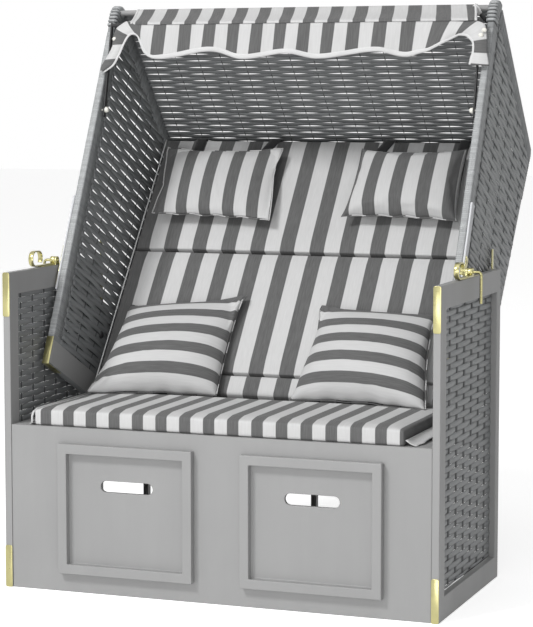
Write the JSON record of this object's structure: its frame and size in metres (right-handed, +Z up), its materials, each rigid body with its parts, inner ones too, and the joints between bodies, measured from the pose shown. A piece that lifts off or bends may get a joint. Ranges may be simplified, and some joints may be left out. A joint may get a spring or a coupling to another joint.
{
  "type": "hooded beach chair",
  "caption": "Hooded beach chair: wicker hood that reclines over a wooden box seat, with padded bench and backrest, folding canopy, drawers under the seat and brass arm latches.",
  "frame": {"origin": "on the floor, under the middle of the whole chair's outline with the hood reclined", "axes": "+X to the viewer's right seen from the front, +Y to the back, +Z up; the mirror plane of the chair is X = 0"},
  "size_m": [1.252, 1.0514, 1.5586],
  "materials": {
    "painted_wood": "painted, satin",
    "pale_wood": "painted, satin",
    "wicker": "woven flat strand, satin",
    "brass": "polished",
    "black_steel": "powder coated",
    "cream_plastic": "moulded, satin",
    "striped_fabric": "woven canvas, dark and light grey stripes"
  },
  "bodies": {
    "lower_box": {"front_panel": "painted_wood", "seat_board": "painted_wood", "rear_frame": "painted_wood", "side_frame_left": "painted_wood", "side_frame_right": "painted_wood", "side_wicker_left": "wicker", "side_wicker_right": "wicker", "runner_left_of_left_drawer": "painted_wood", "runner_right_of_left_drawer": "painted_wood", "runner_left_of_right_drawer": "painted_wood", "runner_right_of_right_drawer": "painted_wood", "post_brass_top_left": "brass", "post_brass_top_right": "brass", "post_brass_foot_left": "brass", "post_brass_foot_right": "brass", "guide_strap_left": "brass", "guide_strap_right": "brass", "pivot_plate_left": "black_steel", "pivot_plate_right": "black_steel", "pivot_pin_left": "black_steel", "pivot_pin_right": "black_steel", "latch_base_left": "brass", "latch_base_right": "brass", "seat_cushion": "striped_fabric", "throw_pillow_left": "striped_fabric", "throw_pillow_right": "striped_fabric"},
    "hood": {"hood_side_left": "painted_wood", "hood_side_right": "painted_wood", "hood_side_wicker_left": "wicker", "hood_side_wicker_right": "wicker", "roof_wicker": "wicker", "back_wicker": "wicker", "hood_front_bar": "painted_wood", "hood_rear_bar": "painted_wood", "hood_bottom_rail": "painted_wood", "backrest_board": "painted_wood", "back_cushion_lower": "striped_fabric", "back_cushion_middle": "striped_fabric", "back_cushion_upper": "striped_fabric", "neck_pillow_left": "striped_fabric", "neck_pillow_right": "striped_fabric", "rack_strip_left": "pale_wood", "rack_strip_right": "pale_wood", "rack_plate_left": "brass", "rack_plate_right": "brass", "hood_corner_left": "brass", "hood_corner_right": "brass", "canopy_knob_left": "cream_plastic", "canopy_knob_right": "cream_plastic"},
    "canopy": {"canopy_bow": "black_steel", "canopy_roof": "striped_fabric", "canopy_valance": "striped_fabric"},
    "left_drawer": {"drawer_front_left": "painted_wood", "drawer_box_left": "painted_wood"},
    "right_drawer": {"drawer_front_right": "painted_wood", "drawer_box_right": "painted_wood"},
    "left_latch": {"latch_lever_left": "brass", "latch_rod_left": "brass"},
    "right_latch": {"latch_lever_right": "brass", "latch_rod_right": "brass"}
  },
  "joints": [
    {"name": "hood_recline", "type": "hinge", "parent": "lower_box", "child": "hood", "pos_m": [0, -0.0124, 0.6275], "axis": [1, 0, 0], "range_deg": [0, 25.7], "deforming": ["throw_pillow_left", "throw_pillow_right"]},
    {"name": "canopy_fold", "type": "hinge", "parent": "hood", "child": "canopy", "pos_m": [0, 0.00748, 1.26605], "axis": [1, 0, 0], "range_deg": [0, 45]},
    {"name": "left_drawer_slide", "type": "slide", "parent": "lower_box", "child": "left_drawer", "axis": [0, -1, 0], "range_m": [0, 0.38]},
    {"name": "right_drawer_slide", "type": "slide", "parent": "lower_box", "child": "right_drawer", "axis": [0, -1, 0], "range_m": [0, 0.38]},
    {"name": "left_latch_lift", "type": "hinge", "parent": "lower_box", "child": "left_latch", "pos_m": [-0.594, -0.2154, 0.8546], "axis": [-1, 0, 0], "range_deg": [0, 60]},
    {"name": "right_latch_lift", "type": "hinge", "parent": "lower_box", "child": "right_latch", "pos_m": [0.594, -0.2154, 0.8546], "axis": [-1, 0, 0], "range_deg": [0, 60]}
  ]
}
